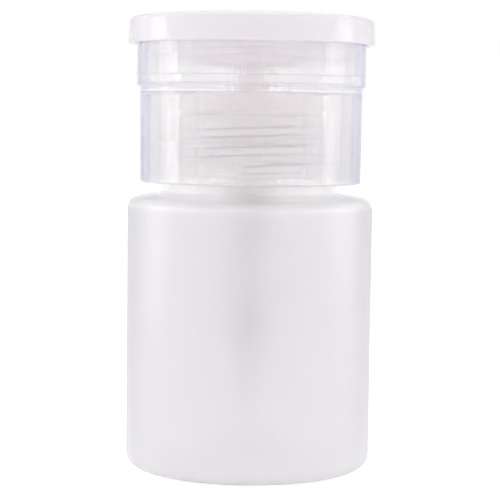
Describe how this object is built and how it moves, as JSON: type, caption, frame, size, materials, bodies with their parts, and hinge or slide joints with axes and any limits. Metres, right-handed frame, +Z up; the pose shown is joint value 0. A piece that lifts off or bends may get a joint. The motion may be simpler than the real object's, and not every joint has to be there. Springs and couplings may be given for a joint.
{
  "type": "nail polish remover pump",
  "caption": "Small round translucent bottle with a screw-on push-down dish pump and a hinged flip lid for wetting cotton pads.",
  "frame": {"origin": "on the bottle's axis, in the plane of its foot ring", "axes": "+Z up the bottle's axis, -Y the front, +Y the side of the lid's hinge"},
  "size_m": [0.0424, 0.0433, 0.0785],
  "materials": {
    "bottle": "frosted translucent polyethylene",
    "closure": "natural translucent polypropylene",
    "neck_gasket": "white foam",
    "pump_housing": "natural polypropylene",
    "chaplet": "natural polypropylene",
    "dip_tube": "natural polyethylene",
    "inlet_ball": "polished stainless steel",
    "return_spring": "drawn stainless wire",
    "plunger": "natural polypropylene",
    "piston_seal": "soft polyethylene",
    "pump_stem": "natural polypropylene",
    "outlet_ball": "polished stainless steel",
    "press_dish": "natural translucent polypropylene",
    "nozzle_cap": "natural translucent polypropylene",
    "flip_lid": "natural translucent polypropylene"
  },
  "bodies": {
    "bottle": {"bottle": "bottle"},
    "pump": {"pump_housing": "pump_housing", "chaplet": "chaplet", "dip_tube": "dip_tube", "neck_gasket": "neck_gasket", "return_spring": "return_spring"},
    "closure": {"closure": "closure"},
    "lid": {"flip_lid": "flip_lid"},
    "actuator": {"press_dish": "press_dish", "nozzle_cap": "nozzle_cap", "pump_stem": "pump_stem", "plunger": "plunger", "piston_seal": "piston_seal"},
    "inlet_valve": {"inlet_ball": "inlet_ball"},
    "outlet_valve": {"outlet_ball": "outlet_ball"}
  },
  "joints": [
    {"name": "closure_lift", "type": "slide", "parent": "bottle", "child": "pump", "axis": [0, 0, 1], "range_m": [0, 0.00635]},
    {"name": "closure_turn", "type": "hinge", "parent": "pump", "child": "closure", "pos_m": [0, 0, 0.0645], "axis": [0, 0, 1], "range_deg": [0, 720]},
    {"name": "lid_hinge", "type": "hinge", "parent": "closure", "child": "lid", "pos_m": [0, 0.02085, 0.0706], "axis": [-1, 0, 0], "range_deg": [0, 180]},
    {"name": "dish_press", "type": "slide", "parent": "pump", "child": "actuator", "axis": [0, 0, -1], "range_m": [0, 0.0027], "stiffness_N_per_m": 1600, "springref_m": -0.0002, "deforming": ["return_spring"]},
    {"name": "inlet_ball_lift", "type": "slide", "parent": "pump", "child": "inlet_valve", "axis": [0, 0, 1], "range_m": [0, 0.0005]},
    {"name": "outlet_ball_lift", "type": "slide", "parent": "actuator", "child": "outlet_valve", "axis": [0, 0, 1], "range_m": [0, 0.0004]}
  ],
  "couplings": [
    {"joint": "closure_turn", "follows": "closure_lift", "rad_per_m": 1979}
  ]
}
